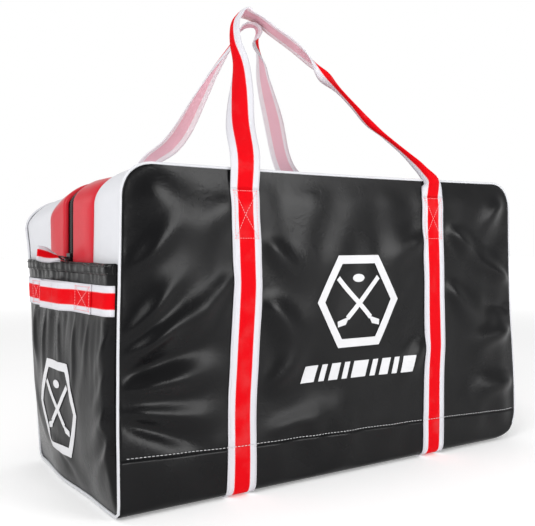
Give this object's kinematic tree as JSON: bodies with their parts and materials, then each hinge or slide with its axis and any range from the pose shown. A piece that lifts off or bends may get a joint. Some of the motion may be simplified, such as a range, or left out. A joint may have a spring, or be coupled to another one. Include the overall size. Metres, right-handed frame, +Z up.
{
  "type": "hockey equipment bag",
  "caption": "Large upright box-shaped carry bag for ice hockey equipment, with a zipped top, end pockets, body straps and two long webbing carry handles.",
  "frame": {"origin": "middle of the underside, on the floor", "axes": "+X along the bag to its right end as seen from the front panel, front panel faces -Y, +Z up"},
  "size_m": [0.8996, 0.3742, 0.7911],
  "materials": {
    "black_vinyl": "glossy coated vinyl on woven backing",
    "white_vinyl": "satin coated vinyl",
    "red_vinyl": "satin coated vinyl",
    "striped_webbing": "ribbed polyester webbing, red centre and white borders",
    "zip_tape": "woven tape",
    "zip_plastic": "moulded teeth",
    "dark_metal": "black lacquered die casting",
    "board": "plain sheet"
  },
  "bodies": {
    "bag": {"back_panel": "black_vinyl", "back_piping": "white_vinyl", "bottom_board": "board", "bottom_panel": "black_vinyl", "front_panel": "black_vinyl", "front_piping": "white_vinyl", "left_back_red": "red_vinyl", "left_back_tape": "zip_tape", "left_back_teeth": "zip_plastic", "left_back_white": "white_vinyl", "left_body_strap": "striped_webbing", "left_end_panel": "black_vinyl", "left_front_red": "red_vinyl", "left_front_tape": "zip_tape", "left_front_teeth": "zip_plastic", "left_front_white": "white_vinyl", "left_grab_handle_ends": "striped_webbing", "left_piping": "white_vinyl", "left_pocket": "black_vinyl", "left_pocket_band": "striped_webbing", "left_pocket_hem": "black_vinyl", "right_back_red": "red_vinyl", "right_back_tape": "zip_tape", "right_back_teeth": "zip_plastic", "right_back_white": "white_vinyl", "right_body_strap": "striped_webbing", "right_end_panel": "black_vinyl", "right_front_red": "red_vinyl", "right_front_tape": "zip_tape", "right_front_teeth": "zip_plastic", "right_front_white": "white_vinyl", "right_grab_handle_ends": "striped_webbing", "right_piping": "white_vinyl", "right_pocket": "black_vinyl", "right_pocket_band": "striped_webbing", "right_pocket_hem": "black_vinyl", "zip_stops": "zip_plastic"},
    "front_flap": {"front_flap_red": "red_vinyl", "front_flap_tape": "zip_tape", "front_flap_teeth": "zip_plastic", "front_flap_white": "white_vinyl"},
    "back_flap": {"back_flap_red": "red_vinyl", "back_flap_tape": "zip_tape", "back_flap_teeth": "zip_plastic", "back_flap_white": "white_vinyl"},
    "front_handle": {"front_carry_handle": "striped_webbing"},
    "back_handle": {"back_carry_handle": "striped_webbing"},
    "slider": {"zip_slider": "dark_metal"},
    "pull": {"pull_link": "dark_metal", "pull_tab": "striped_webbing"},
    "left_grab": {"left_grab_handle": "striped_webbing"},
    "right_grab": {"right_grab_handle": "striped_webbing"}
  },
  "joints": [
    {"name": "front_flap_open", "type": "hinge", "parent": "bag", "child": "front_flap", "pos_m": [0, -0.1764, 0.485], "axis": [1, 0, 0], "range_deg": [0, 50]},
    {"name": "back_flap_open", "type": "hinge", "parent": "bag", "child": "back_flap", "pos_m": [0, 0.1764, 0.485], "axis": [-1, 0, 0], "range_deg": [0, 50]},
    {"name": "front_handle_swing", "type": "hinge", "parent": "bag", "child": "front_handle", "pos_m": [0, -0.186, 0.486], "axis": [1, 0, 0], "range_deg": [0, 205]},
    {"name": "back_handle_swing", "type": "hinge", "parent": "bag", "child": "back_handle", "pos_m": [0, 0.186, 0.486], "axis": [-1, 0, 0], "range_deg": [0, 205]},
    {"name": "zip_slide", "type": "slide", "parent": "bag", "child": "slider", "axis": [0, 0, 1], "range_m": [0, 0.075]},
    {"name": "pull_swing", "type": "hinge", "parent": "slider", "child": "pull", "pos_m": [-0.412, 0, 0.348], "axis": [0, 1, 0], "range_deg": [0, 60]},
    {"name": "left_grab_lift", "type": "slide", "parent": "bag", "child": "left_grab", "axis": [-1, 0, 0], "range_m": [0, 0.02]},
    {"name": "right_grab_lift", "type": "slide", "parent": "bag", "child": "right_grab", "axis": [1, 0, 0], "range_m": [0, 0.02]}
  ]
}
